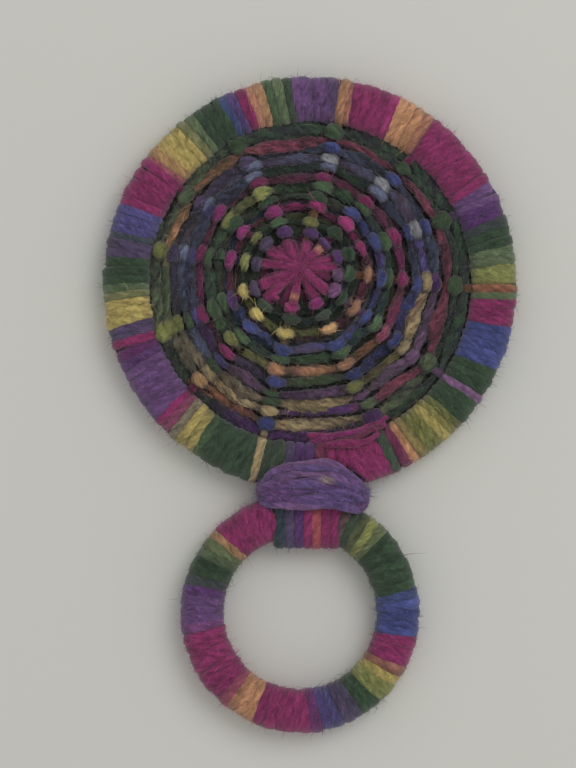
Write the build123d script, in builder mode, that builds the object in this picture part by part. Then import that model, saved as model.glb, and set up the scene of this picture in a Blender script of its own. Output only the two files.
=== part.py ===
from build123d import *
import os
from math import asin, cos, degrees, hypot, radians, sin, sqrt

# A round pin-loom weaving. Two flat rings are wound with wool. The large one holds a web woven
# on twelve spokes, and the small one hangs from it by a lashing and a waist band.
# +X is right, +Y points from the small ring to the large one, and +Z is the front.
# The back of both wound rings lies in the plane Z = 0. Millimetres.

# --- Driving dimensions -------------------------------------------------------------------
YARN = 1.1                 # thickness of one layer of wool
LARGE_OUTER_R = 25.0       # large ring with its wool, outer and inner radius
LARGE_INNER_R = 19.4
SMALL_OUTER_R = 14.6       # small ring with its wool, outer and inner radius
SMALL_INNER_R = 9.4
RIM_HEIGHT = 4.6           # both wound rings, back to front
RIM_CORNER_R = 2.1         # rounding of a wound ring's section
RING_GAP = 0.5             # between the two wound rings where they come closest
SMALL_OFFSET_X = -1.2      # small ring's centre, sideways from the large ring's centre
HUB_OFFSET = (-1.2, 1.9)   # web's hub from the large ring's centre

SPOKE_ANGLES = [10, 39, 65, 92, 125, 155, 197, 228, 252, 282, 306, 333]  # clockwise from +Y
SPOKE_R = 0.45
SPOKE_LOOP_ARC = 2.6       # width in degrees of a spoke's loop over the large ring

HUB_R = 2.3
HUB_HEIGHT = 3.0
HUB_EDGE_R = 1.0
ROUNDS = 12                # rounds of weaving
FIRST_ROUND_R = 2.45       # inner radius of the first round
ROUND_PITCH = 1.40
ROUND_WIDTH = 1.15
ROUND_HEIGHT = 2.3
ROUND_CORNER_R = 0.5

LASH_HALF_WIDTH = 4.2      # half the width of the gap that the lashing takes in the windings
LASH_TURNS = 7
LASH_GAP = 0.06            # between neighbouring turns of the lashing
LASH_CLEAR = 0.05          # between the lashing and what it goes round
LASH_BEND_R = 0.9          # bends of a turn's centreline
LASH_REACH_R = 8.15        # how near the turns come to the small ring's centre
PINCH_START, PINCH_END = 1.7, 0.4    # where a turn's back dips in between the rings, from the waist
PINCH_Z = 1.85                       # height of its centreline there
SMALL_WRAPS = 8            # runs of winding on the small ring

BAND_LEFT, BAND_RIGHT = -6.4, 7.8    # ends of the waist band
BAND_TOP, BAND_BOTTOM = 4.2, -2.9    # its edges above and below the gap between the rings
BAND_END_HALF = 1.5                  # half its height at each end
BAND_RIGHT_DROP = 0.9                # how much lower its right end sits
BAND_THICK = 1.05
BAND_CLEAR = 0.02                    # between the band and the lashing in front
BAND_POST = (1.0, 1.1)               # the band where it passes down between the rings
BAND_BACK_WIDTH, BAND_BACK_THICK = 1.0, 0.75

# --- Derived places -----------------------------------------------------------------------
CENTRE_DROP = sqrt((LARGE_OUTER_R + SMALL_OUTER_R + RING_GAP) ** 2 - SMALL_OFFSET_X**2)
TOTAL_LENGTH = LARGE_OUTER_R + CENTRE_DROP + SMALL_OUTER_R
LARGE_Y = TOTAL_LENGTH / 2 - LARGE_OUTER_R
SMALL_Y = LARGE_Y - CENTRE_DROP
MID_Z = RIM_HEIGHT / 2
WAIST_Y = LARGE_Y - LARGE_OUTER_R - RING_GAP / 2
CORE_HEIGHT = RIM_HEIGHT - 2 * YARN
CORE_CORNER_R = RIM_CORNER_R - YARN
HUB_X, HUB_Y = HUB_OFFSET[0], LARGE_Y + HUB_OFFSET[1]

os.makedirs("parts", exist_ok=True)


def save(name, piece):
    """Labels one finished piece and writes its STEP file."""
    piece.part.label = name
    export_step(piece.part, f"parts/{name}.step")


def ring_axis(x, y):
    """The axis of a ring that lies flat with its centre at x, y."""
    return Axis((x, y, 0), (0, 0, 1))


def radial_plane(x, y, angle):
    """The upright plane through a ring's axis, its X pointing out at angle clockwise from +Y."""
    outward = (sin(radians(angle)), cos(radians(angle)), 0)
    across = (cos(radians(angle)), -sin(radians(angle)), 0)
    return Plane(origin=(x, y, MID_Z), x_dir=outward, z_dir=across)


def section(inner_r, outer_r, height, corner_r):
    """A rounded section from inner_r to outer_r, drawn in a radial plane."""
    with Locations(((inner_r + outer_r) / 2, 0)):
        RectangleRounded(outer_r - inner_r, height, corner_r)


def winding(x, y, inner_r, outer_r, start, stop):
    """A run of wool round a flat ring from angle start to stop, clockwise from +Y."""
    with BuildPart() as run:
        with BuildSketch(radial_plane(x, y, stop)):
            section(inner_r, outer_r, RIM_HEIGHT, RIM_CORNER_R)
        revolve(axis=ring_axis(x, y), revolution_arc=stop - start)
        with BuildSketch(radial_plane(x, y, stop)):
            section(inner_r + YARN, outer_r - YARN, CORE_HEIGHT, CORE_CORNER_R)
        revolve(axis=ring_axis(x, y), revolution_arc=stop - start, mode=Mode.SUBTRACT)
    return run


def lash_angle(radius, x_edge):
    """How far round a ring the upright plane x = x_edge cuts its circle, in degrees."""
    return degrees(asin(x_edge / radius))


# --- Rings --------------------------------------------------------------------------------
for name, x, y, inner_r, outer_r in (
    ("large_ring", 0, LARGE_Y, LARGE_INNER_R, LARGE_OUTER_R),
    ("small_ring", SMALL_OFFSET_X, SMALL_Y, SMALL_INNER_R, SMALL_OUTER_R),
):
    with BuildPart() as ring:
        with BuildSketch(radial_plane(x, y, 90)):
            section(inner_r + YARN, outer_r - YARN, CORE_HEIGHT, CORE_CORNER_R)
        revolve(axis=ring_axis(x, y))
    save(name, ring)

# --- Large ring's winding: one run between each two spokes, split again by the lashing -----
stops = sorted(SPOKE_ANGLES)
runs = []
for i, start in enumerate(stops):
    stop = stops[i + 1] if i + 1 < len(stops) else stops[0] + 360
    first, last = start + SPOKE_LOOP_ARC / 2, stop - SPOKE_LOOP_ARC / 2
    if first < 180 < last:
        runs += [(first, 180), (180, last)]
    else:
        runs.append((first, last))

for number, (start, stop) in enumerate(runs, 1):
    run = winding(0, LARGE_Y, LARGE_INNER_R, LARGE_OUTER_R, start, stop)
    with BuildPart() as wrap:
        add(run.part)
        if 180 in (start, stop):
            with Locations((0, LARGE_Y - LARGE_OUTER_R, MID_Z)):
                Box(2 * LASH_HALF_WIDTH, LARGE_OUTER_R, 2 * RIM_HEIGHT, mode=Mode.SUBTRACT)
    save(f"large_wrap_{number:02d}", wrap)

# --- Small ring's winding: even runs on either side of the lashing -------------------------
lash_start = lash_angle(SMALL_OUTER_R, LASH_HALF_WIDTH + SMALL_OFFSET_X)
lash_stop = 360 - lash_angle(SMALL_OUTER_R, LASH_HALF_WIDTH - SMALL_OFFSET_X)
small_step = (lash_stop - lash_start) / SMALL_WRAPS
for number in range(1, SMALL_WRAPS + 1):
    start = lash_start + (number - 1) * small_step
    run = winding(SMALL_OFFSET_X, SMALL_Y, SMALL_INNER_R, SMALL_OUTER_R, start, start + small_step)
    with BuildPart() as wrap:
        add(run.part)
        if number in (1, SMALL_WRAPS):
            with Locations((0, SMALL_Y + SMALL_OUTER_R, MID_Z)):
                Box(2 * LASH_HALF_WIDTH, SMALL_OUTER_R, 2 * RIM_HEIGHT, mode=Mode.SUBTRACT)
    save(f"small_wrap_{number}", wrap)

# --- Hub and spokes -----------------------------------------------------------------------
with BuildPart() as hub:
    with BuildSketch(Plane.XY.offset(MID_Z - HUB_HEIGHT / 2)):
        with Locations((HUB_X, HUB_Y)):
            Circle(HUB_R)
    extrude(amount=HUB_HEIGHT)
    fillet(hub.edges().filter_by(GeomType.CIRCLE), HUB_EDGE_R)
save("hub_stitches", hub)

spoke_lines = []
for number, angle in enumerate(SPOKE_ANGLES, 1):
    loop = winding(
        0, LARGE_Y, LARGE_INNER_R, LARGE_OUTER_R,
        angle - SPOKE_LOOP_ARC / 2, angle + SPOKE_LOOP_ARC / 2,
    )
    reach = LARGE_INNER_R + YARN / 2
    end_x = reach * sin(radians(angle))
    end_y = LARGE_Y + reach * cos(radians(angle))
    length = hypot(end_x - HUB_X, end_y - HUB_Y)
    along = ((end_x - HUB_X) / length, (end_y - HUB_Y) / length)
    start = (HUB_X + HUB_R * along[0], HUB_Y + HUB_R * along[1], MID_Z)
    spoke_lines.append((start, along, length - HUB_R))
    with BuildPart() as spoke:
        add(loop.part)
        with BuildSketch(Plane(origin=start, z_dir=(along[0], along[1], 0))):
            Circle(SPOKE_R)
        extrude(amount=length - HUB_R)
    save(f"spoke_{number:02d}", spoke)

# --- Weaving: each round passes over and under every spoke -----------------------------------
for number in range(1, ROUNDS + 1):
    shift = 1 - (number - 1) / (ROUNDS - 1)
    x, y = HUB_OFFSET[0] * shift, LARGE_Y + HUB_OFFSET[1] * shift
    inner_r = FIRST_ROUND_R + (number - 1) * ROUND_PITCH
    with BuildPart() as weave:
        with BuildSketch(radial_plane(x, y, 90)):
            section(inner_r, inner_r + ROUND_WIDTH, ROUND_HEIGHT, ROUND_CORNER_R)
        revolve(axis=ring_axis(x, y))
        for start, along, length in spoke_lines:
            with BuildSketch(Plane(origin=start, z_dir=(along[0], along[1], 0))):
                Circle(SPOKE_R)
            extrude(amount=length, mode=Mode.SUBTRACT)
    save(f"weave_round_{number:02d}", weave)

# --- Lashing: turns of wool round both bare rings, drawn together at the back ----------------
half = YARN / 2
lash_pitch = 2 * LASH_HALF_WIDTH / LASH_TURNS
low_y = SMALL_Y + LASH_REACH_R
low_z, high_z = half - LASH_CLEAR / 2, RIM_HEIGHT - half + LASH_CLEAR / 2
for number in range(1, LASH_TURNS + 1):
    x = -LASH_HALF_WIDTH + (number - 0.5) * lash_pitch
    core_edge = sqrt((LARGE_INNER_R + YARN) ** 2 - (abs(x) + half) ** 2)
    top_y = LARGE_Y - core_edge + half + LASH_CLEAR
    outline = [
        (top_y, high_z), (low_y, high_z), (low_y, low_z), (WAIST_Y - PINCH_START, low_z),
        (WAIST_Y - PINCH_END, PINCH_Z), (WAIST_Y + PINCH_END, PINCH_Z),
        (WAIST_Y + PINCH_START, low_z), (top_y, low_z),
    ]
    with BuildPart() as turn:
        with BuildSketch(Plane(origin=(x, 0, 0), x_dir=(0, 1, 0), z_dir=(1, 0, 0))):
            with BuildLine():
                FilletPolyline(*outline, radius=LASH_BEND_R, close=True)
            middle = make_face()
            offset(amount=half)
            offset(middle, amount=-half, mode=Mode.SUBTRACT)
        extrude(amount=(lash_pitch - LASH_GAP) / 2, both=True)
    save(f"joint_turn_{number}", turn)

# --- Waist band: over the lashing in front, down between the rings and across behind ---------
front_z = RIM_HEIGHT + LASH_CLEAR + BAND_CLEAR
middle_x = (BAND_LEFT + BAND_RIGHT) / 2
right_y = WAIST_Y - BAND_RIGHT_DROP
left_top, left_low = (BAND_LEFT, WAIST_Y + BAND_END_HALF), (BAND_LEFT, WAIST_Y - BAND_END_HALF)
right_top, right_low = (BAND_RIGHT, right_y + BAND_END_HALF), (BAND_RIGHT, right_y - BAND_END_HALF)
with BuildPart() as band:
    with BuildSketch(Plane.XY.offset(front_z)):
        with BuildLine():
            ThreePointArc(left_top, (middle_x, WAIST_Y + BAND_TOP), right_top)
            Line(right_top, right_low)
            ThreePointArc(right_low, (middle_x, WAIST_Y + BAND_BOTTOM), left_low)
            Line(left_low, left_top)
        make_face()
    extrude(amount=BAND_THICK)
    for x, y in ((BAND_LEFT + BAND_POST[0] / 2, WAIST_Y), (BAND_RIGHT - BAND_POST[0] / 2, right_y)):
        with BuildSketch(Plane.XY.offset(LASH_CLEAR)):
            with Locations((x, y)):
                Rectangle(*BAND_POST)
        extrude(amount=front_z)
    with BuildSketch(Plane.XY.offset(LASH_CLEAR)):
        with Locations((middle_x, WAIST_Y)):
            Rectangle(BAND_RIGHT - BAND_LEFT, BAND_BACK_WIDTH)
    extrude(amount=BAND_BACK_THICK)
save("waist_band", band)
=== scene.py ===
"""The looks of a round wool weaving on a wound ring, with a smaller wound ring lashed to it."""
import math

import bpy
import numpy as np
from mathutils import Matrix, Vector


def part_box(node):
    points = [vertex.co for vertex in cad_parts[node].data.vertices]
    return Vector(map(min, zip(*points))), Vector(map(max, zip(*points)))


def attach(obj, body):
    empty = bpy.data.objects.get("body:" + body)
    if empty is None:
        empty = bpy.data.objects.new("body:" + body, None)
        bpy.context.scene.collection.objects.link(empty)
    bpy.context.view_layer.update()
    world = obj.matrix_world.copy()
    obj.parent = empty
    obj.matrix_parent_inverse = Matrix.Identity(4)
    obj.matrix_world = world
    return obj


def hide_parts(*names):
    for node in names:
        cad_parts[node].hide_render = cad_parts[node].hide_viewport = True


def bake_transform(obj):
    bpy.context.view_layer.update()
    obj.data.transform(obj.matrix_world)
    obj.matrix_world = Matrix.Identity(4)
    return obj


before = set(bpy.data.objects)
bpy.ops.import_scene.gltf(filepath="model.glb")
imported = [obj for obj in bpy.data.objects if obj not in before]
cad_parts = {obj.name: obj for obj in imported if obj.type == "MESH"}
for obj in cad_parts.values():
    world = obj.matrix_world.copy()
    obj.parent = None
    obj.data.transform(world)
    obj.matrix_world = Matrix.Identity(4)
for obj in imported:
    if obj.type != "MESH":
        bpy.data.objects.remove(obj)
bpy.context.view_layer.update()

# Lengths below are in millimetres and angles in degrees clockwise from the top of a ring.
MM = 0.001


# --- Places taken from the frame ------------------------------------------------------------
def middle_and_radius(node):
    """A round node's centre and outer radius, in millimetres."""
    low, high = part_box(node)
    centre = [(a + b) / 2 / MM for a, b in zip(low, high)]
    return np.array(centre), (high[0] - low[0]) / 2 / MM


YARN = 1.1                      # width of the wool
RIM_HEIGHT = 4.6
LARGE_WIDTH, SMALL_WIDTH = 5.6, 5.2
SMALL_SHIFT = 0.25              # the lashing pulls the small winding towards the waist
SMALL_TIGHTER = 0.15            # and the wool lies this much tighter on the small ring
LARGE_CENTRE, large_core_r = middle_and_radius("large_ring")
SMALL_CENTRE, small_core_r = middle_and_radius("small_ring")
SMALL_CENTRE[1] += SMALL_SHIFT
HUB, _ = middle_and_radius("hub_stitches")
LARGE_R = large_core_r + YARN
SMALL_R = small_core_r + YARN - SMALL_TIGHTER
INNER_R = LARGE_R - LARGE_WIDTH
MID_Z = LARGE_CENTRE[2]
WAIST_Y = (LARGE_CENTRE[1] - LARGE_R + SMALL_CENTRE[1] + SMALL_R) / 2
SPOKE_ANGLES = [10, 39, 65, 92, 125, 155, 197, 228, 252, 282, 306, 333]
SPOKE_LOOP_ARC = 2.3            # degrees of the rim that a spoke's loop takes up
LASH_HALF_WIDTH = 4.2
LASH_DEPTH = 1.0                # how far inside the small winding's edge that width is taken
LASH_TURNS = 7

# --- Dye colours, as linear light reflected by the wool -------------------------------------
DYES = {
    "crimson": (0.228, 0.026, 0.108),
    "rose": (0.30, 0.070, 0.125),
    "magenta": (0.205, 0.027, 0.125),
    "maroon": (0.132, 0.026, 0.058),
    "purple": (0.125, 0.058, 0.165),
    "mauve": (0.190, 0.095, 0.195),
    "violet": (0.085, 0.031, 0.124),
    "blue": (0.056, 0.067, 0.210),
    "periwinkle": (0.078, 0.066, 0.198),
    "pale_blue": (0.150, 0.170, 0.270),
    "slate": (0.080, 0.055, 0.115),
    "steel": (0.078, 0.088, 0.155),
    "teal": (0.032, 0.050, 0.068),
    "dark_green": (0.032, 0.060, 0.032),
    "green": (0.062, 0.105, 0.050),
    "sage": (0.108, 0.142, 0.075),
    "grey_green": (0.044, 0.064, 0.041),
    "olive": (0.165, 0.165, 0.052),
    "lime": (0.210, 0.218, 0.072),
    "yellow": (0.400, 0.315, 0.104),
    "gold": (0.400, 0.235, 0.110),
    "orange": (0.460, 0.230, 0.120),
    "peach": (0.480, 0.240, 0.130),
    "salmon": (0.330, 0.075, 0.088),
    "coral": (0.345, 0.170, 0.098),
    "rust": (0.240, 0.098, 0.055),
    "cream": (0.330, 0.250, 0.135),
    "white": (0.310, 0.310, 0.340),
    "taupe": (0.175, 0.144, 0.100),
}
DYES = {name: np.array(colour) for name, colour in DYES.items()}

# Runs of dye round each rim: the angle where each run ends and its dye.
LARGE_RUNS = [
    (7, "purple"), (8.2, "dark_green"), (12, "coral"), (26, "crimson"), (31, "peach"),
    (36, "orange"), (61, "crimson"), (66, "purple"), (72, "violet"), (80, "dark_green"),
    (84, "sage"), (89.5, "lime"), (91.5, "rust"), (95, "sage"), (102, "crimson"),
    (115, "blue"), (123, "dark_green"), (126, "mauve"), (134, "dark_green"), (137, "olive"),
    (139.5, "yellow"), (147, "olive"), (150, "orange"), (152, "crimson"), (156, "grey_green"),
    (172, "crimson"), (182, "maroon"), (190, "violet"), (198.5, "grey_green"),
    (214, "dark_green"), (217, "green"), (220.5, "yellow"),
    (224.5, "taupe"), (228.5, "crimson"), (246, "purple"), (249, "violet"), (253, "crimson"),
    (257, "slate"), (266, "yellow"), (269, "sage"), (277, "dark_green"), (280, "slate"),
    (284, "grey_green"), (292.5, "periwinkle"), (308, "crimson"), (313, "gold"),
    (321.5, "yellow"), (326, "sage"), (334.5, "dark_green"), (337.5, "blue"),
    (342.5, "crimson"), (345.8, "peach"), (349.5, "green"), (351.5, "sage"),
    (355.5, "grey_green"), (360, "purple"),
]
SMALL_RUNS = [
    (24, "crimson"), (37, "grey_green"), (44, "lime"), (48, "sage"), (80, "dark_green"),
    (103, "blue"), (120, "crimson"), (123, "coral"), (129, "yellow"), (137, "lime"),
    (151, "dark_green"), (160, "slate"), (168, "periwinkle"), (172, "violet"), (204, "crimson"),
    (213, "peach"), (222, "coral"), (261, "crimson"), (281, "purple"), (287, "violet"),
    (301, "dark_green"), (309, "sage"), (312, "olive"), (316, "coral"), (360, "crimson"),
]
# Runs of dye along the weft, counted in spokes crossed since the weft left the hub.
WEFT_RUNS = [
    (26.5, "crimson"), (28, "magenta"), (29.5, "mauve"), (33.5, "violet"), (36.5, "slate"),
    (39.5, "grey_green"), (43.5, "dark_green"), (44.5, "olive"), (45.5, "green"),
    (47.5, "lime"), (50.5, "yellow"), (51.5, "gold"), (53.5, "coral"), (56.5, "crimson"),
    (59.5, "magenta"), (60.5, "violet"), (67.5, "blue"), (71.5, "dark_green"),
    (80.5, "green"), (82.5, "lime"), (84.5, "green"), (85.5, "lime"), (86.5, "peach"),
    (87.5, "coral"), (88.5, "rose"), (93.5, "crimson"), (94.5, "magenta"), (97.5, "crimson"),
    (102.5, "blue"), (105.5, "pale_blue"), (109.5, "periwinkle"), (110.5, "green"),
    (111.5, "lime"), (113.5, "cream"), (116.5, "white"), (119.5, "pale_blue"),
    (122.5, "green"), (124.5, "mauve"), (125.5, "violet"), (128.5, "blue"), (131.5, "slate"),
    (132.5, "lime"), (134.5, "cream"), (136.5, "sage"), (141.5, "crimson"), (142.5, "coral"),
    (143.5, "peach"), (144.5, "lime"), (145.5, "gold"), (146.5, "blue"), (147.5, "violet"),
    (153.5, "green"), (154.5, "sage"), (156.5, "lime"), (171, "dark_green"),
]
# Dyes of the floats, the stretches of weft between the spokes, counted in the same way.
FLOAT_RUNS = [
    (26, "crimson"), (48, "dark_green"), (51, "olive"), (54, "maroon"), (57, "crimson"),
    (60, "maroon"), (67, "blue"), (81, "dark_green"), (82, "olive"), (85, "green"),
    (86, "olive"), (87, "peach"), (88, "rust"), (90, "crimson"), (95, "maroon"),
    (96, "crimson"), (97, "maroon"), (98, "slate"), (99, "green"), (101, "blue"),
    (103, "steel"), (105, "dark_green"), (108, "steel"), (109, "violet"), (111, "mauve"),
    (112, "olive"), (113, "cream"), (114, "periwinkle"), (121, "steel"), (122, "taupe"),
    (123, "cream"), (125, "mauve"), (129, "steel"), (132, "slate"), (133, "taupe"), (134, "cream"),
    (135, "violet"), (141, "rose"), (142, "coral"), (143, "peach"), (144, "sage"),
    (145, "taupe"), (146, "rust"), (147, "cream"), (148, "sage"), (153.6, "dark_green"),
    (156.5, "sage"), (157.5, "rust"), (158.6, "violet"), (165.4, "dark_green"), (168, "sage"),
    (169.5, "grey_green"), (171, "violet"),
]


def dye_at(runs, where, wrap, soften):
    """The dye at each value of where, with the ends of the runs bled into each other. Where the
    runs go round a ring, wrap is their full turn; along the weft it is None."""
    stops = np.array([stop for stop, _ in runs], float)
    colours = np.array([DYES[name] for _, name in runs])

    def plain(value):
        value = np.mod(value, wrap) if wrap else np.clip(value, 0, stops[-1] - 1e-6)
        return colours[np.minimum(np.searchsorted(stops, value, side="right"), len(stops) - 1)]

    return 0.25 * plain(where - soften) + 0.5 * plain(where) + 0.25 * plain(where + soften)


def plies(dye, light=1.1, step=0.2):
    """The dyes of a strand's two plies, which differ by step in brightness."""
    return lambda ply: dye * (light - step * ply)


def squared(value, power):
    """A sine or cosine bent so that a round section gets fuller corners."""
    return np.sign(value) * np.abs(value) ** power


def unit(vectors):
    return vectors / np.linalg.norm(vectors, axis=-1)[..., None]


# --- Yarn ------------------------------------------------------------------------------------
SIDES = 16              # points round a yarn
STEP = 0.24             # distance between rings of points along a yarn
TWIST = 11.0            # length of yarn in which its fibres go once round it
RIDGE_ROWS = 5          # how far a ridge of fibres runs, in rings of points
RIDGE_HEIGHT = 0.042    # ridges and slow swelling, as shares of a yarn's half width
UNEVENNESS = 0.12
UNEVEN_ROWS = 9
SQUARENESS = 0.85       # 1 makes a yarn's section an ellipse, less makes it a rounded box
FIBRES_PER_MM = 15.0
FIBRE_POINTS = 3
FIBRE_CORNERS = (0, 2.094, 4.189)
LOOSE_FIBRES = 0.4      # the share of fibres that stand off the yarn and curl
FIBRE_LENGTHS = (0.25, 1.9)
FIBRE_THICKNESS = (0.016, 0.034)
LOWEST_FIBRE = 0.03     # keeps the fibres just above the table


def tube_faces(rows):
    """The faces of a tube with SIDES points in each of its rows."""
    i = np.arange(rows - 1)[:, None] * SIDES
    j = np.arange(SIDES)[None, :]
    k = (j + 1) % SIDES
    return np.stack([i + j, i + k, i + SIDES + k, i + SIDES + j], -1).reshape(-1, 4)


class Wool:
    """Gathers strands and stray fibres, then becomes one mesh object."""

    def __init__(self, name, seed):
        self.name = name
        self.rng = np.random.default_rng(seed)
        self.points, self.colours, self.strands = [], [], []
        self.faces, self.count = [], 0

    def add(self, points, colours, strands, faces):
        self.points.append(points)
        self.colours.append(colours)
        self.strands.append(strands)
        self.faces += (faces + self.count).tolist()
        self.count += len(points)

    def ridges(self, rows, turn):
        """Uneven ridges of fibres that run along a yarn and round it with its twist."""
        noise = self.rng.normal(0, 1, (rows + RIDGE_ROWS - 1, SIDES))
        kernel = np.hanning(RIDGE_ROWS + 2)[1:-1]
        kernel /= np.linalg.norm(kernel)
        noise = np.stack([np.convolve(column, kernel, "valid") for column in noise.T], 1)
        shift = np.round(turn * SIDES / (2 * math.pi)).astype(int)
        return np.take_along_axis(noise, (np.arange(SIDES) - shift[:, None]) % SIDES, axis=1)

    def strand(self, path, up, width, height, colour_of, fuzz=1.0, painted_belly_shade=0.72, rough=1.0):
        """A soft yarn along path. up points away from what the yarn lies on; width and height
        are its half sizes across and along up; colour_of(ply) gives the dyes of its two plies,
        painted_belly_shade paints shade down the sides and over the back, and rough makes its
        outline uneven."""
        n = len(path)
        along = unit(np.gradient(path, axis=0))
        up = unit(up - (up * along).sum(1)[:, None] * along)
        side = np.cross(up, along)
        steps = np.linalg.norm(np.diff(path, axis=0), axis=1)
        distance = np.concatenate([[0], np.cumsum(steps)])
        phase = self.rng.uniform(0, 2 * math.pi)
        noise = self.rng.normal(0, 1, n + UNEVEN_ROWS - 1)
        uneven = np.convolve(noise, np.ones(UNEVEN_ROWS) / UNEVEN_ROWS, "valid")
        turn = phase + 2 * math.pi * distance / TWIST
        ridges = self.ridges(n, turn)
        bulge = 1 + rough * (UNEVENNESS * uneven[:, None] + RIDGE_HEIGHT * ridges)
        around = np.linspace(0, 2 * math.pi, SIDES, endpoint=False)
        across = np.broadcast_to(width, n)[:, None] * squared(np.cos(around), SQUARENESS) * bulge
        out = np.broadcast_to(height, n)[:, None] * squared(np.sin(around), SQUARENESS) * bulge
        surface = path[:, None] + across[..., None] * side[:, None] + out[..., None] * up[:, None]

        ply_angle = around[None, :] - turn[:, None]
        share = np.clip(0.5 + 0.25 * np.cos(ply_angle) + 0.22 * ridges, 0, 1)[..., None]
        first, second = (np.broadcast_to(colour_of(ply), (n, 3))[:, None] for ply in (0, 1))
        streak = np.clip(1 + 0.15 * ridges, 0.5, 1.7)
        # Painted shade: the dye darkens down the yarn's sides and over its back.
        shade = 1 - (1 - painted_belly_shade) * np.clip(0.75 - 0.9 * np.sin(around), 0, 1)
        dye = (first * share + second * (1 - share)) * (streak * shade)[..., None]
        lengthwise = np.broadcast_to(distance[:, None] * 0.6 + phase * 7, (n, SIDES))
        strands = np.stack([np.cos(ply_angle), np.sin(ply_angle), lengthwise], -1)
        self.add(surface.reshape(-1, 3), dye.reshape(-1, 3), strands.reshape(-1, 3), tube_faces(n))
        start = self.count - n * SIDES
        self.faces.append([start + v for v in range(SIDES - 1, -1, -1)])
        self.faces.append([start + (n - 1) * SIDES + v for v in range(SIDES)])

        normals = np.cos(around)[:, None] * side[:, None] + np.sin(around)[:, None] * up[:, None]
        tangents = np.broadcast_to(along[:, None, :], surface.shape)
        self.fibres(surface.reshape(-1, 3), normals.reshape(-1, 3), tangents.reshape(-1, 3),
                    dye.reshape(-1, 3), int(fuzz * distance[-1] * FIBRES_PER_MM))

    def fibres(self, surface, normals, tangents, dye, amount):
        """Fine hairs: most lie along the yarn, and the rest stand off it and curl."""
        rng = self.rng
        pick = rng.integers(0, len(surface), amount)
        root, out, along = surface[pick], normals[pick], tangents[pick]
        wander = rng.normal(0, 1, (amount, 3))
        loose = (rng.uniform(0, 1, (amount, 1)) < LOOSE_FIBRES).astype(float)
        forward = rng.choice([-1.0, 1.0], (amount, 1)) * (1 - 0.7 * loose)
        lift = rng.uniform(0.05, 0.3 + 0.7 * loose)
        heading = unit(along * forward + out * lift + 0.45 * wander)
        curl = rng.normal(0, 0.4, (amount, 3)) - 0.25 * out
        length = np.clip(rng.lognormal(-0.60, 0.45, amount), *FIBRE_LENGTHS)[:, None, None]
        t = np.linspace(0, 1, FIBRE_POINTS)[None, :, None]
        line = root[:, None] - 0.02 * out[:, None] + length * (
            heading[:, None] * t + curl[:, None] * t * t)
        line[..., 2] = np.maximum(line[..., 2], LOWEST_FIBRE)
        ahead = np.gradient(line, axis=1)
        ahead /= np.linalg.norm(ahead, axis=2)[..., None] + 1e-9
        one = np.cross(ahead, wander[:, None] + 0.01)
        one /= np.linalg.norm(one, axis=2)[..., None] + 1e-9
        two = np.cross(ahead, one)
        thick = rng.uniform(*FIBRE_THICKNESS, (amount, 1, 1)) * (1.05 - 0.75 * t)
        corners = [one * math.cos(a) + two * math.sin(a) for a in FIBRE_CORNERS]
        tube = np.stack([line + thick * corner for corner in corners], axis=2)
        # The hairs range from half to 2.4 times the yarn's brightness, with a pale lift: random
        # tone, plus painted highlight on the fuzz.
        tone = dye[pick] * rng.uniform(0.5, 2.4, (amount, 1)) + rng.uniform(0.0, 0.06, (amount, 1))
        per = FIBRE_POINTS * 3
        base = (np.arange(amount) * per)[:, None, None]
        i = (np.arange(FIBRE_POINTS - 1) * 3)[None, :, None]
        j = np.arange(3)[None, None, :]
        k = (j + 1) % 3
        quads = np.stack(np.broadcast_arrays(base + i + j, base + i + 3 + j, base + i + 3 + k,
                                             base + i + k), -1).reshape(-1, 4)
        self.add(tube.reshape(-1, 3), np.repeat(tone, per, axis=0),
                 np.repeat(wander, per, axis=0), quads)
        ends = self.count - amount * per + np.arange(amount) * per
        last = per - 3
        self.faces += np.stack([ends, ends + 1, ends + 2], -1).tolist()
        self.faces += np.stack([ends + last + 2, ends + last + 1, ends + last], -1).tolist()

    def finish(self, material):
        """The mesh object, in metres in the row frame."""
        points = np.concatenate(self.points)
        points[:, 2] = np.maximum(points[:, 2], 0.0)
        colours = np.concatenate(self.colours)
        mesh = bpy.data.meshes.new(self.name)
        mesh.from_pydata((points * MM).tolist(), [], self.faces)
        mesh.polygons.foreach_set("use_smooth", [True] * len(mesh.polygons))
        rgba = np.ones((len(points), 4), np.float32)
        rgba[:, :3] = colours
        # The dye attribute holds the wool's dye with its painted light and shade.
        dye = mesh.attributes.new("dye", "FLOAT_COLOR", "POINT")
        dye.data.foreach_set("color", rgba.ravel())
        strand = mesh.attributes.new("strand", "FLOAT_VECTOR", "POINT")
        strand.data.foreach_set("vector", np.concatenate(self.strands).astype(np.float32).ravel())
        mesh.materials.append(material)
        mesh.update()
        piece = bpy.data.objects.new(self.name, mesh)
        bpy.context.scene.collection.objects.link(piece)
        return piece


# --- Materials -------------------------------------------------------------------------------
def new_material(name):
    """A material, its nodes and links, and its shader."""
    material = bpy.data.materials.new(name)
    material.use_nodes = True
    tree = material.node_tree
    return material, tree.nodes, tree.links, tree.nodes["Principled BSDF"]


def add_noise(nodes, links, place, scale, detail, roughness=0.5):
    """A noise texture's value at a place."""
    noise = nodes.new("ShaderNodeTexNoise")
    noise.inputs["Scale"].default_value = scale
    noise.inputs["Detail"].default_value = detail
    noise.inputs["Roughness"].default_value = roughness
    links.new(place, noise.inputs["Vector"])
    return noise.outputs["Fac"]


def map_range(nodes, links, value, source, target):
    """A value moved from one range onto another."""
    node = nodes.new("ShaderNodeMapRange")
    for end, of_source, of_target in zip(("Min", "Max"), source, target):
        node.inputs[f"From {end}"].default_value = of_source
        node.inputs[f"To {end}"].default_value = of_target
    links.new(value, node.inputs["Value"])
    return node.outputs["Result"]


def add_bump(nodes, links, shader, height, strength, distance):
    bump = nodes.new("ShaderNodeBump")
    bump.inputs["Strength"].default_value = strength
    bump.inputs["Distance"].default_value = distance
    links.new(height, bump.inputs["Height"])
    links.new(bump.outputs["Normal"], shader.inputs["Normal"])


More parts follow.
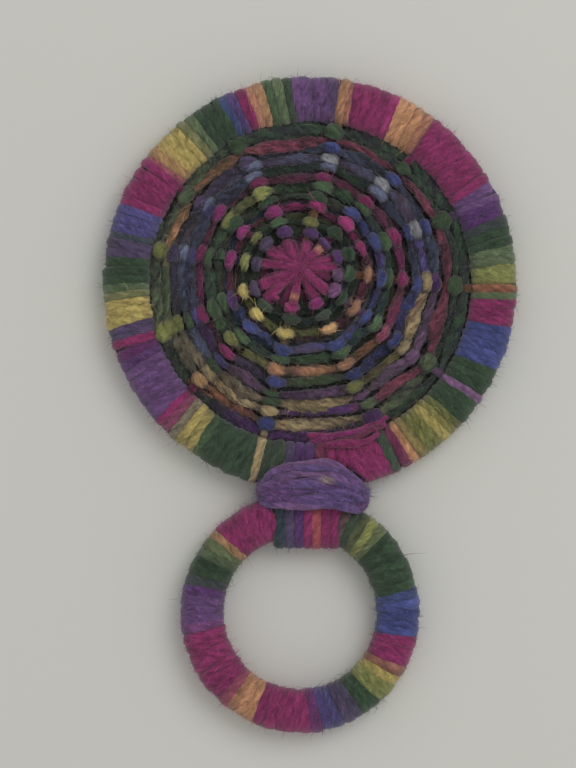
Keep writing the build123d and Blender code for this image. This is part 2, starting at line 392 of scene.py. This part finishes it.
def wool_material():
    """Brushed dyed wool: the dye, with painted light and shade baked into it, comes with the mesh,
    and fibres streak along the twisted plies.
    """
    material, nodes, links, shader = new_material("brushed_wool")
    dye = nodes.new("ShaderNodeAttribute")
    dye.attribute_name = "dye"
    strand = nodes.new("ShaderNodeAttribute")
    strand.attribute_name = "strand"
    stretch = nodes.new("ShaderNodeMapping")
    stretch.inputs["Scale"].default_value = (4, 4, 1.2)
    links.new(strand.outputs["Vector"], stretch.inputs["Vector"])
    streaks = add_noise(nodes, links, stretch.outputs["Vector"], 1.0, 5.0, 0.65)
    place = nodes.new("ShaderNodeTexCoord")
    heather = add_noise(nodes, links, place.outputs["Object"], 2600.0, 4.0)
    both = nodes.new("ShaderNodeMath")
    both.operation = "MULTIPLY"
    links.new(map_range(nodes, links, streaks, (0.25, 0.75), (0.60, 1.42)), both.inputs[0])
    links.new(map_range(nodes, links, heather, (0.3, 0.7), (0.84, 1.16)), both.inputs[1])
    shade = nodes.new("ShaderNodeVectorMath")
    shade.operation = "SCALE"
    links.new(dye.outputs["Color"], shade.inputs[0])
    links.new(both.outputs["Value"], shade.inputs["Scale"])
    links.new(shade.outputs["Vector"], shader.inputs["Base Color"])
    rough = map_range(nodes, links, streaks, (0, 1), (0.78, 1.0))
    links.new(rough, shader.inputs["Roughness"])
    add_bump(nodes, links, shader, streaks, 0.75, 0.00012)
    shader.inputs["Specular IOR Level"].default_value = 0.18
    shader.inputs["Sheen Weight"].default_value = 0.28
    shader.inputs["Sheen Roughness"].default_value = 0.55
    return material


def plastic_material():
    """The hidden craft rings: their plastic is painted dark as shade, so that it doesn't show
    between the turns of wool.
    """
    material, nodes, links, shader = new_material("ring_plastic")
    place = nodes.new("ShaderNodeTexCoord")
    grain = add_noise(nodes, links, place.outputs["Object"], 1500.0, 2.0)
    tone = nodes.new("ShaderNodeMix")
    tone.data_type = "RGBA"
    # Painted shade: dark tones stand in for the shade on the core under the wool.
    tone.inputs["A"].default_value = (0.10, 0.085, 0.08, 1)
    tone.inputs["B"].default_value = (0.16, 0.14, 0.13, 1)
    links.new(grain, tone.inputs["Factor"])
    links.new(tone.outputs["Result"], shader.inputs["Base Color"])
    add_bump(nodes, links, shader, grain, 0.2, 0.00005)
    shader.inputs["Roughness"].default_value = 0.55
    return material


WOOL = wool_material()
PLASTIC = plastic_material()


def place_piece(wool, node, body):
    """Finishes a piece of wool that rides on a body in place of its CAD node."""
    piece = wool.finish(WOOL)
    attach(piece, body)
    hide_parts(node)


# --- Wool wound round a ring -------------------------------------------------------------------
SECTION_POWER = 0.74    # squareness of a wound ring's section: 1 is an ellipse
SECTION_POINTS = 721    # points that measure the section's girth
TURN_PITCH = 1.02       # distance between turns, along the middle of the ring
TURN_HALF_WIDTH = 0.70  # half width of a turn, as a share of its pitch
TURN_HALF_HEIGHT = 0.57
TURN_SLACK = 0.055      # how unevenly turns lie: off the ring, along it, in width and in tone
TURN_LEAN = 0.10
TURN_WIDTH_NOISE = 0.07
TURN_TONE_NOISE = 0.08
LARGE_BLEED, SMALL_BLEED = 0.5, 2.0     # degrees over which one dye runs into the next
SLANTED_RUN = 6         # the run of winding beside the lashing, whose turns lie aslant
RUN_SLANT = 4.0         # degrees from the middle of one of its turns to either edge
LOOP_SIZE = 0.63        # half width of the yarn that loops over the rim from a spoke
LOOP_LIFT = 0.05
EDGE_DYES = ("crimson", "magenta", "maroon", "crimson")
EDGE_START, EDGE_ARC = 150, 33          # degrees of the rim that the loose strands run along
EDGE_Z, EDGE_ARCH = 3.50, 0.40          # their height, and how far they arch up in the middle
EDGE_HALF_WIDTH = 0.42
EDGE_POINTS = 60


def outward(angle):
    """Unit vectors out from a ring's centre, at angles clockwise from its top."""
    a = np.radians(np.array(angle, float))
    return np.stack([np.sin(a), np.cos(a), np.zeros_like(a)], -1)


def flat_up(path):
    return np.tile([0.0, 0, 1], (len(path), 1))


def round_section(turn, half_width, half_height):
    """Points round a ring's rounded section, from its outer edge up over the front and back."""
    return (half_width * squared(np.cos(turn), SECTION_POWER),
            half_height * squared(np.sin(turn), SECTION_POWER))


def even_section(half_width, half_height):
    """A function that spaces points evenly round the section, and the section's girth."""
    dense = np.linspace(0, 2 * math.pi, SECTION_POINTS)
    x, z = round_section(dense, half_width, half_height)
    length = np.concatenate([[0], np.cumsum(np.hypot(np.diff(x), np.diff(z)))])
    return lambda share: np.interp(np.mod(share, 1) * length[-1], length, dense), length[-1]


def rim_path(centre, out, radius, rise):
    """A path round a ring, from its radius and its height above the ring's middle."""
    path = centre + out * radius[:, None]
    path[:, 2] = centre[2] + rise
    return path


def off_section(out, x, z, half_w, half_h):
    """Directions straight off the surface of a wound ring."""
    away = out * (x / half_w**2)[:, None]
    away[:, 2] += z / half_h**2
    return away


def wind(wool, centre, outer_r, ring_width, start, stop, runs, bleed, slant=0.0):
    """Turns of yarn wound side by side round a ring, from angle start to stop. slant is how
    many degrees a turn leans from its middle to either edge."""
    mid_r = outer_r - ring_width / 2
    half_w, half_h = (ring_width - YARN) / 2, (RIM_HEIGHT - YARN) / 2
    turns = max(1, round(math.radians(stop - start) * mid_r / TURN_PITCH))
    turn_arc = (stop - start) / turns
    to_turn, girth = even_section(half_w, half_h)
    per_turn = int(girth / STEP)
    share = np.arange(turns * per_turn + 1) / per_turn

    def each_turn(size):
        """Random values, one for each turn, that run smoothly into each other."""
        return np.interp(share, np.arange(turns + 2), wool.rng.normal(0, size, turns + 2))

    slack = each_turn(TURN_SLACK)
    lean = each_turn(TURN_LEAN) * turn_arc
    x, z = round_section(to_turn(share), half_w, half_h)
    angle = start + turn_arc * share + lean - slant * x / half_w * np.sign(z)
    out = outward(np.clip(angle, start, stop))
    grow = 1 + slack / half_w
    radius = mid_r + x * grow
    width = TURN_HALF_WIDTH * math.radians(turn_arc) * radius
    width = width * (1 + TURN_WIDTH_NOISE * each_turn(1))
    shrink = np.clip(0.85 + 2 * np.minimum(share, turns - share), 0, 1)

    # The yarn changes dye as it passes behind the ring, so each turn shows one dye in front.
    behind = np.clip((share % 1 - 0.65) / 0.2, 0, 1)
    in_front = start + turn_arc * (np.floor(share) + behind + 0.25)
    tone = (1 + TURN_TONE_NOISE * each_turn(1))[:, None]
    dye = dye_at(runs, in_front, 360, bleed) * tone
    wool.strand(rim_path(centre, out, radius, z * grow), off_section(out, x, z, half_w, half_h),
                width * shrink, TURN_HALF_HEIGHT * shrink, plies(dye, 1.06, 0.12))


def loop_over_rim(wool, angle, dye):
    """One turn of yarn round the large rim, where a spoke goes round it."""
    half_w, half_h = (LARGE_WIDTH - YARN) / 2 + LOOP_LIFT, (RIM_HEIGHT - YARN) / 2 + LOOP_LIFT
    to_turn, girth = even_section(half_w, half_h)
    count = int(girth / STEP)
    share = np.arange(count + 1) / count + 0.5
    x, z = round_section(to_turn(share), half_w, half_h)
    out = outward(angle + 0.3 * np.sin(share * 2 * math.pi + wool.rng.uniform(0, 6)))
    path = rim_path(LARGE_CENTRE, out, LARGE_R - LARGE_WIDTH / 2 + x, z)
    wool.strand(path, off_section(out, x, z, half_w, half_h), LOOP_SIZE, LOOP_SIZE, plies(dye))


def rim_stretches():
    """The stretches of the large rim between its spokes, split by the lashing."""
    stretches = []
    for first, last in zip(SPOKE_ANGLES, SPOKE_ANGLES[1:] + [SPOKE_ANGLES[0] + 360]):
        start, stop = first + SPOKE_LOOP_ARC / 2, last - SPOKE_LOOP_ARC / 2
        if start < 180 < stop:
            half = math.degrees(math.asin(LASH_HALF_WIDTH / (LARGE_R - LARGE_WIDTH / 2)))
            stretches += [(start, 180 - half), (180 + half, stop)]
        else:
            stretches.append((start, stop))
    return stretches


def edge_strands(wool):
    """Loose crimson turns that run along the rim's inner edge above the waist."""
    share = np.linspace(0, 1, EDGE_POINTS)
    arch = np.sin(share * math.pi)
    for k, dye in enumerate(EDGE_DYES):
        angle = EDGE_START + 1.8 * k + (EDGE_ARC - 3.5 * k) * share
        radius = INNER_R - 0.85 + 0.45 * k + 0.30 * np.sin(share * (4 + k) + 2 * k)
        path = LARGE_CENTRE + outward(angle) * radius[:, None]
        path[:, 2] = EDGE_Z + 0.24 * k + EDGE_ARCH * arch - 1.3 * share**6
        width = EDGE_HALF_WIDTH * (0.7 + 0.5 * arch + 0.15 * np.sin(share * 9 + k))
        wool.strand(path, flat_up(path), width, 0.38, plies(DYES[dye]), fuzz=1.5)


def wind_large_ring():
    for number, (start, stop) in enumerate(rim_stretches(), 1):
        wool = Wool(f"rim_wool_{number:02d}", 100 + number)
        slant = RUN_SLANT if number == SLANTED_RUN else 0
        wind(wool, LARGE_CENTRE, LARGE_R, LARGE_WIDTH, start, stop, LARGE_RUNS, LARGE_BLEED, slant)
        if number == SLANTED_RUN:
            edge_strands(wool)
        place_piece(wool, f"large_wrap_{number:02d}", "disc")


def wind_small_ring():
    """Winds the small ring's runs, which share the arc that the lashing leaves free."""
    nodes = sorted(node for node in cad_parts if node.startswith("small_wrap_"))
    lash_r = SMALL_R - LASH_DEPTH
    right = math.degrees(math.asin((LASH_HALF_WIDTH - SMALL_CENTRE[0]) / lash_r))
    left = 360 - math.degrees(math.asin((LASH_HALF_WIDTH + SMALL_CENTRE[0]) / lash_r))
    arc = (left - right) / len(nodes)
    for number, node in enumerate(nodes):
        wool = Wool(f"loop_wool_{number + 1}", 200 + number)
        start = right + number * arc
        wind(wool, SMALL_CENTRE, SMALL_R, SMALL_WIDTH, start, start + arc, SMALL_RUNS, SMALL_BLEED)
        place_piece(wool, node, "hanger")


wind_large_ring()
wind_small_ring()

# --- Web: twelve spokes and the weft worked round them -----------------------------------------
WEFT_ORDER = [8, 7, 6, 5, 4, 3, 2, 1, 0, 11, 10, 9]     # the spokes as the weft meets them
WEFT_END = 170.5                     # spokes crossed by the weft, from the hub to the rim
WEFT_ROUNDS = 12
# Radius of the rounds, by spokes crossed.
WEFT_RADIUS = [(0, 1.6), (24, 4.1), (42, 6.4), (54, 8.1), (66, 9.7), (78, 10.9), (90, 12.2),
               (102, 13.5), (120, 15.2), (144, 17.5), (156, 18.5), (171, 19.3)]
# Height, half width and painted shade of the floats, and half width of the beads over the spokes.
# The floats lie low between the beads, and the painted shade darkens them there, set stretch by
# stretch.
FLOAT_Z = [(0, 1.9), (60, 2.0), (100, 2.65), (140, 2.9), (147, 2.7), (149, 2.5), (170, 2.5)]
FLOAT_HALF = [(0, 0.38), (60, 0.44), (90, 0.52), (110, 0.58), (145, 0.55), (158, 0.66),
              (171, 0.66)]
FLOAT_PAINTED_SHADE = [(0, 0.45), (48, 0.66), (72, 0.80), (84, 0.62), (92, 0.58), (102, 0.42), (111, 0.40),
               (113, 0.85), (115, 0.58), (121, 0.58), (123, 0.75), (125, 0.50), (132, 0.48),
               (134, 1.00), (136, 0.42), (142, 0.50), (144, 0.65), (147, 0.70), (149, 0.80),
               (153, 0.85), (155, 0.70), (157, 0.60), (159, 0.80), (165, 0.85), (167, 0.65),
               (171, 0.60)]
# Painted light and shade on the raised beads over the spokes: how bright they are drawn against
# their dye.
BEAD_PAINTED_LIGHT = [(0, 1.25), (26, 1.25), (29, 1.0), (46, 1.0), (48, 1.25), (58, 1.2), (61, 0.95),
             (70, 1.0), (84, 0.85), (112, 0.72), (114, 0.80), (118, 0.80), (121, 0.70), (134, 0.90),
             (136, 0.70), (171, 0.72)]
BEAD_HALF = [(0, 0.40), (28, 0.60), (60, 0.66), (100, 0.62), (140, 0.70), (150, 0.90), (171, 0.90)]
BEAD_Z = 3.45                        # height of the beads
FIRST_BEAD, LAST_BEAD = 24, 156      # the star and the rim hide the crossings beyond these
MARL = 24                            # a float's second ply takes some dye from this far ahead
DIP_PAINTED_SHADE = 0.6                      # painted shade: how dark the weft is drawn where it dives beside a spoke
PLAIN_CROSSINGS = (137, 143)         # the weft lies low over the spokes between these two
PLAIN_SHARE = 0.15                   # how much of a bead is left where the weft lies low
FLOAT_WANDER, RISE_WANDER = 0.24, 0.13      # unevenness of the floats' and all the weft's height
SIDE_WANDER, WIDTH_WANDER = 0.20, 0.20      # unevenness sideways, and of the floats' width
UNDER_Z, BACK_Z = 1.75, 0.95         # heights of the strands that close the web
UNDER_SIZE, BACK_SIZE = (0.50, 0.42), (0.64, 0.50)
SPOKE_SIZE = 0.47                    # half width of a spoke's yarns
SPOKE_APART = 0.12                   # a spoke's upper and lower yarn, each way from its middle
SPOKE_RISES = {1: 1.1, -1: -1.0}     # how far each of them moves off where it meets the rim
SPOKE_POINTS = 90
SPOKE_DYES = ["coral", "crimson", "purple", "rust", "mauve", "grey_green", "cream", "crimson",
              "crimson", "slate", "crimson", "dark_green"]
SPOKE_ENDS = [LARGE_CENTRE + outward(angle) * INNER_R for angle in SPOKE_ANGLES]


def make_spoke(number, angle, end, dye):
    wool = Wool(f"spoke_yarn_{number:02d}", 300 + number)
    loop_over_rim(wool, angle, DYES[dye])
    share = np.linspace(0.03, 1, SPOKE_POINTS)
    near_rim = np.clip((share - 0.86) / 0.14, 0, 1) ** 1.5
    for level, rise in SPOKE_RISES.items():
        path = HUB + (end - HUB) * share[:, None]
        path[:, 2] = MID_Z + level * SPOKE_APART + rise * near_rim
        # Painted shade: the spoke's yarns in the web are drawn at about half the brightness of its
        # loop over the rim.
        wool.strand(path, level * flat_up(path), SPOKE_SIZE, SPOKE_SIZE,
                    plies(DYES[dye], 0.6, 0.1), fuzz=0.5)
    place_piece(wool, f"spoke_{number:02d}", "disc")


def along_table(table, count):
    return np.interp(count, *np.array(table).T)


def bead(crossing):
    """Where the weft crosses its spoke at a whole number of crossings. The rounds near the hub
    lie a little off its middle, and those near the rim a little off the large ring's."""
    share = min(crossing / LAST_BEAD, 1)
    inner = HUB + np.array([-0.5, -0.3, 0])
    outer = LARGE_CENTRE + np.array([-0.1, 0.1, 0])
    centre = inner * (1 - share) + outer * share
    spoke = SPOKE_ENDS[WEFT_ORDER[crossing % len(WEFT_ORDER)]] - HUB
    line = unit(spoke)
    radius = along_table(WEFT_RADIUS, crossing) + (centre - HUB) @ line
    return HUB + line * min(radius, np.linalg.norm(spoke) - 0.2)


def weft_line(first, last, bow):
    """The weft's centreline seen from above, the crossing count at each point, and how near
    each point is to a spoke. bow pushes the line outwards midway between two spokes."""
    length = np.linalg.norm(np.diff(BEADS, axis=0), axis=1)
    marks = [first]
    while marks[-1] < last:
        span = length[min(int(marks[-1]), len(length) - 1)]
        marks.append(marks[-1] + STEP / span)
    count = np.clip(np.array(marks), first, last)
    k = np.minimum(count.astype(int), len(length) - 1)
    f = count - k
    path = BEADS[k] * (1 - f[:, None]) + BEADS[k + 1] * f[:, None]
    out = unit((path - HUB) * [1, 1, 0])
    reach = (bow + 0.03 * length[k] ** 1.3) * np.sin(math.pi * f)
    aside = np.minimum(f, 1 - f) * length[k]
    near = np.clip(1.30 - aside / np.clip(0.20 * length[k], 0.5, 0.95), 0, 1)
    return path + out * reach[:, None], count, near * near * (3 - 2 * near)


def make_weft_round(number):
    """One round of weft: the yarn in front, a strand under it dyed dark as painted shade, and a flat
    one behind, darkened on top as painted shade.
    """
    wool = Wool(f"weft_round_{number:02d}", 400 + number)
    first, last = (number - 1) * WEFT_END / WEFT_ROUNDS, number * WEFT_END / WEFT_ROUNDS
    knots = np.arange(math.floor(first), math.ceil(last) + 1, 0.5)

    def wander(size):
        return size * np.interp(count, knots, wool.rng.normal(0, 1, len(knots)))

    def floats(ahead, soften):
        return dye_at(FLOAT_RUNS, count + ahead, None, soften)

    path, count, near = weft_line(first, last, -0.2)
    crossing = np.round(count)
    hidden = (crossing < FIRST_BEAD) | (crossing > LAST_BEAD) | (
        (crossing >= PLAIN_CROSSINGS[0]) & (crossing <= PLAIN_CROSSINGS[1]))
    near = near * np.where(hidden, PLAIN_SHARE, 1.0)
    low = along_table(FLOAT_Z, count) + wander(FLOAT_WANDER)
    path[:, 2] = low + (BEAD_Z - low) * near + wander(RISE_WANDER)
    path[:, :2] += np.stack([wander(SIDE_WANDER), wander(SIDE_WANDER)], 1)
    swell = 0.36 + 0.80 * np.sin(math.pi * (count % 1)) ** 0.8
    half = along_table(FLOAT_HALF, count) * (1 + wander(WIDTH_WANDER)) * swell
    half = half + (along_table(BEAD_HALF, count) * (1 + wander(0.15)) - half) * near

    def front_dye(ply):
        over = np.clip(near * 1.8 - 0.3, 0, 1)[:, None]
        # Painted light: the raised beads are drawn brighter or darker than their dye, round by
        # round.
        painted_bead_light = (along_table(BEAD_PAINTED_LIGHT, count) + wander(0.10))[:, None]
        beads = dye_at(WEFT_RUNS, crossing, None, 0.3) * painted_bead_light * (1.15 - 0.3 * ply)
        marled = 0.6 * floats(0, 0.2) + 0.4 * floats(MARL * ply, 0.2)
        # Painted shade on the floats, which lie low between the beads.
        marled = marled * (1.45 - 0.8 * ply) * along_table(FLOAT_PAINTED_SHADE, count)[:, None]
        # Painted shade where the weft dives beside a spoke.
        painted_dip = 1 - DIP_PAINTED_SHADE * np.exp(-(((near - 0.45) / 0.28) ** 2)) * ~hidden
        return (beads * over + marled * (1 - over)) * painted_dip[:, None]

    # Painted shade darkens the sides of the beads and the floats.
    wool.strand(path, flat_up(path), half, 0.42 + 0.24 * near, front_dye,
                fuzz=3.0, painted_belly_shade=0.42, rough=2.6)

    under, count, near = weft_line(first, last, 0.35)
    under[:, 2] = UNDER_Z - 0.3 * near + wander(0.08)
    # Painted shade: the strand under the floats is dyed mostly dark green with a little of the
    # floats' dye, so the gaps between the rounds read dark.
    dark = 0.27 * DYES["dark_green"] + 0.18 * floats(5, 0.5)
    wool.strand(under, flat_up(under), *UNDER_SIZE, plies(dark, 1, 0), fuzz=0.4)

    back, count, near = weft_line(first, last, -0.1)
    back[:, 2] = BACK_Z - 0.25 * near + wander(0.06)
    # Painted shade: the flat strand behind takes 0.85 of the weft's dyes and, as it faces down, is
    # darkest on its upper face, which shows through the gaps.
    wool.strand(back, -flat_up(back), *BACK_SIZE,
                lambda ply: 0.85 * dye_at((WEFT_RUNS, FLOAT_RUNS)[ply], count, None, 0.6),
                fuzz=0.6, painted_belly_shade=0.25)
    place_piece(wool, f"weave_round_{number:02d}", "disc")


BEADS = np.array([bead(k) for k in range(int(WEFT_END) + 2)])
for number, (angle, end, dye) in enumerate(zip(SPOKE_ANGLES, SPOKE_ENDS, SPOKE_DYES), 1):
    make_spoke(number, angle, end, dye)
for number in range(1, WEFT_ROUNDS + 1):
    make_weft_round(number)

# --- Hub: a star of plump rays over the spokes, gathered in the middle ---------------------------
RAY_LENGTHS = [3.0, 3.6, 4.0, 4.1, 3.8, 4.6, 5.2, 5.4, 5.2, 4.4, 4.2, 3.5]
FLECK_RAYS = {1: 2.9, 6: 3.4}        # rays with a peach fleck, and its distance from the middle
LANE_TURN = 9                        # degrees between a ray's upper and lower strand
CROSS_BEARINGS = (10, 48, 80, 112, 150)
RAY_POINTS, CROSS_POINTS = 26, 18
NO_FLECK = 9.0                       # a place past the end of every ray
RAY_Z, CROSS_Z = 3.55, 4.02          # heights of the rays and of the strands across them
CROSS_SIZE = (0.40, 0.34)
HUB_FUZZ = 2.5


def make_ray(wool, number, bearing, reach, lane):
    rng = wool.rng
    out = outward(bearing + LANE_TURN * lane + rng.normal(0, 3))
    reach = reach * (1 - 0.22 * lane) + rng.normal(0, 0.15)
    share = np.linspace(0, 1, RAY_POINTS)
    path = HUB + out * (0.1 + reach * share)[:, None]
    rise = RAY_Z - 0.25 * lane + 0.35 * (1 - share) ** 2 - 0.9 * share**5
    path[:, 2] = rise + rng.normal(0, 0.1)
    spot = NO_FLECK if lane else FLECK_RAYS.get(number, NO_FLECK)
    fleck = 0.75 * np.exp(-(((reach * share - spot) / 0.35) ** 2))[:, None]
    # Painted shade: a ray's lower strand is drawn darker than its upper one.
    dye = (DYES["crimson"] * (1 - fleck) + DYES["peach"] * fleck) * (1 - 0.35 * lane)
    wool.strand(path, flat_up(path), 0.44 + 0.17 * share - 0.10 * lane, 0.45 + 0.10 * share,
                plies(dye, 1.15), fuzz=HUB_FUZZ)


def make_cross_stitch(wool, bearing):
    rng = wool.rng
    out = outward(bearing + rng.normal(0, 8))
    share = np.linspace(-1, 1, CROSS_POINTS)
    path = HUB + out * (rng.uniform(1.3, 2.1) * share)[:, None] + rng.normal(0, 0.12, 3) * [1, 1, 0]
    path[:, 2] = CROSS_Z - 0.5 * share**2
    dye = DYES["crimson"] * rng.uniform(0.85, 1.15)
    wool.strand(path, flat_up(path), *CROSS_SIZE, plies(dye, 1.15), fuzz=HUB_FUZZ)


def make_hub():
    wool = Wool("hub_star", 500)
    for number, (end, reach) in enumerate(zip(SPOKE_ENDS, RAY_LENGTHS)):
        bearing = math.degrees(math.atan2(end[0] - HUB[0], end[1] - HUB[1]))
        for lane in (0, 1):
            make_ray(wool, number, bearing, reach, lane)
    for bearing in CROSS_BEARINGS:
        make_cross_stitch(wool, bearing)
    place_piece(wool, "hub_stitches", "disc")


make_hub()

# --- Lashing and waist band ----------------------------------------------------------------------
# The dyes of the lashing's turns, above and below the waist band.
LASH_TOP_DYES = ["grey_green", "slate", "violet", "violet", "maroon", "crimson", "crimson"]
LASH_LOW_DYES = ["teal", "slate", "violet", "crimson", "salmon", "crimson", "crimson"]
LASH_SIZE = (0.68, 0.56)
LASH_POINTS = 150
BAND_MID_X, BAND_HALF = 0.35, 6.3    # the band's middle and half length across the waist
BAND_LOW, BAND_HIGH = 0.62, RIM_HEIGHT + 0.55
# How far above the waist each strand of the band lies, and its dye.
BAND_STRANDS = [(3.62, "mauve"), (2.93, "purple"), (2.22, "mauve"), (1.54, "purple"),
                (0.88, "violet"), (0.22, "violet"), (-0.43, "purple"), (-1.04, "violet"),
                (-1.58, "mauve")]
BAND_POINTS = 190
FLECKED_STRAND, FLECK_X = 3, 2.0     # the strand with a cream fleck, and where that is


def bend_piece(wool, node):
    """Finishes a piece of wool that spans the waist between the two rings; it is baked in place and
    rides on neither body.
    """
    piece = wool.finish(WOOL)
    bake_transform(piece)
    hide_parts(node)


def smooth_loop(corners, count):
    """A closed smooth line through rounded corners, evenly spaced."""
    points = np.array(corners, float)
    for _ in range(3):
        ahead = np.roll(points, -1, axis=0)
        points = np.stack([0.75 * points + 0.25 * ahead, 0.25 * points + 0.75 * ahead], 1)
        points = points.reshape(-1, points.shape[-1])
    points = np.concatenate([points, points[:1]])
    length = np.concatenate([[0], np.cumsum(np.linalg.norm(np.diff(points, axis=0), axis=1))])
    at = np.linspace(0, length[-1], count)
    return np.stack([np.interp(at, length, points[:, i]) for i in range(points.shape[1])], 1)


def lashing_section(x):
    """A lashing turn's loop over both rings, as distances up the object and heights."""
    top = LARGE_CENTRE[1] - math.sqrt((INNER_R + YARN / 2) ** 2 - x**2)
    low = SMALL_CENTRE[1] + SMALL_R - SMALL_WIDTH - YARN / 2
    front, back = RIM_HEIGHT - YARN / 2, YARN / 2
    return smooth_loop([
        (top + 0.3, MID_Z), (top + 0.1, front), (WAIST_Y + 2.4, front + 0.1),
        (WAIST_Y, front - 0.2), (WAIST_Y - 2.4, front + 0.1), (low - 0.1, front),
        (low - 0.5, MID_Z), (low - 0.1, back), (WAIST_Y - 2.0, back),
        (WAIST_Y, back + 1.1), (WAIST_Y + 2.0, back), (top + 0.1, back),
    ], LASH_POINTS).T


def make_lashing_turn(number, top_dye, low_dye):
    wool = Wool(f"lashing_turn_{number}", 600 + number)
    at = -LASH_HALF_WIDTH + (number - 0.5) * 2 * LASH_HALF_WIDTH / LASH_TURNS
    y, z = lashing_section(at)
    fan = (y - WAIST_Y) / 6
    below = np.clip((WAIST_Y - y) / 3, 0, 1)
    x = at * (1 - 0.09 * below) - 0.30 * below + 0.08 * np.sin(fan * 2 + number)
    path = np.stack([x, y, z + 0.05 * np.sin(fan * 5 + number)], 1)
    away = (path - [0, WAIST_Y, MID_Z]) * [0, 0.15, 1]
    share = np.clip((WAIST_Y + 1 - y) / 3, 0, 1)[:, None]
    dye = DYES[top_dye] * (1 - share) + DYES[low_dye] * share
    wool.strand(path, away, *LASH_SIZE, plies(dye))
    bend_piece(wool, f"joint_turn_{number}")


def band_strand(wool, number, level, dye):
    """One strand of the waist band. Its ends run closer together than its middle does."""
    rng = wool.rng
    turn = np.linspace(0, 2 * math.pi, BAND_POINTS) - math.pi / 2
    c, s = np.cos(turn), np.sin(turn)
    half = BAND_HALF - 0.10 * abs(level - 0.3) + rng.normal(0, 0.15)
    x = BAND_MID_X + half * squared(c, 0.7)
    z = (BAND_HIGH + BAND_LOW) / 2 + (BAND_HIGH - BAND_LOW) / 2 * squared(s, 0.6)
    front = np.clip(s * 1.8, 0, 1) ** 0.5
    reach = np.clip((x - BAND_MID_X) / half, -1, 1)
    at_end = np.where(reach < 0, 0.50 * level - 0.45, 0.55 * level - 1.35)
    drift = level + (at_end - level) * np.abs(reach) ** 2.4
    y = WAIST_Y + drift * front + (1 - front) * (0.16 * level - 0.2)
    for waves in (0.5, 1.1):
        y = y + 0.09 * np.sin(x * waves * rng.uniform(0.8, 1.3) + rng.uniform(0, 6)) * front
    z = z + (0.22 * (1 - reach**2) + 0.13 * np.sin(x * 0.8 + 2.1 * number)) * front
    away = np.stack([c * 0.5, np.zeros(BAND_POINTS), s], 1)
    mix = 0.5 + 0.5 * np.sin(x * rng.uniform(0.35, 0.7) + rng.uniform(0, 6))[:, None]
    tone = 0.5 * (DYES["purple"] + DYES[dye] * mix + DYES["periwinkle"] * (1 - mix))
    if number == FLECKED_STRAND:
        fleck = (0.5 * np.exp(-(((x - FLECK_X) / 0.8) ** 2)) * front)[:, None]
        tone = tone * (1 - fleck) + DYES["cream"] * fleck
    wool.strand(np.stack([x, y, z], 1), away, 0.46 + 0.07 * np.sin(x + 2 * number), 0.50,
                plies(tone, 1.25, 0.35), fuzz=1.4)


def make_waist_band():
    wool = Wool("waist_band_wool", 700)
    for number, (level, dye) in enumerate(BAND_STRANDS):
        band_strand(wool, number, level, dye)
    bend_piece(wool, "waist_band")


for number, dyes in enumerate(zip(LASH_TOP_DYES, LASH_LOW_DYES), 1):
    make_lashing_turn(number, *dyes)
make_waist_band()

for node in ("large_ring", "small_ring"):
    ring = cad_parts[node]
    ring.data.materials.clear()
    ring.data.materials.append(PLASTIC)

# --- Stage, light and camera, in metres ------------------------------------------------------------
FLOOR_HALF = 0.6
LAMP_PLACE = (0.26, 0.26, 0.48)
CAMERA_PLACE = (-0.00266, 0.00268)
CAMERA_HEIGHT = 0.34
VIEW_HEIGHT = 0.0929          # height of the picture at the object's middle


def make_floor():
    mesh = bpy.data.meshes.new("floor")
    corners = [(-1, -1), (1, -1), (1, 1), (-1, 1)]
    mesh.from_pydata([(x * FLOOR_HALF, y * FLOOR_HALF, 0) for x, y in corners], [], [(0, 1, 2, 3)])
    floor = bpy.data.objects.new("floor", mesh)
    bpy.context.scene.collection.objects.link(floor)
    material, _, _, shader = new_material("pale_table")
    shader.inputs["Base Color"].default_value = (0.70, 0.69, 0.65, 1)
    shader.inputs["Roughness"].default_value = 0.85
    mesh.materials.append(material)


def light_room():
    """One large soft lamp, and a pale room all round."""
    light = bpy.data.lights.new("key", "AREA")
    light.shape = "DISK"
    light.size = 0.40
    light.energy = 1.0
    lamp = bpy.data.objects.new("key", light)
    lamp.location = LAMP_PLACE
    lamp.rotation_euler = (-Vector(LAMP_PLACE)).to_track_quat("-Z", "Y").to_euler()
    bpy.context.scene.collection.objects.link(lamp)
    world = bpy.data.worlds.new("soft_room")
    world.use_nodes = True
    background = world.node_tree.nodes["Background"]
    background.inputs["Color"].default_value = (0.99, 1.0, 0.98, 1)
    background.inputs["Strength"].default_value = 0.56
    bpy.context.scene.world = world
    bpy.context.scene.view_settings.view_transform = "Standard"


def place_camera():
    """The camera above the object, looking straight down."""
    data = bpy.data.cameras.new("camera")
    data.sensor_width = 36.0
    data.lens = data.sensor_width * CAMERA_HEIGHT / VIEW_HEIGHT
    camera = bpy.data.objects.new("camera", data)
    camera.location = (*CAMERA_PLACE, CAMERA_HEIGHT + MID_Z * MM)
    bpy.context.scene.collection.objects.link(camera)
    bpy.context.scene.camera = camera


make_floor()
light_room()
place_camera()
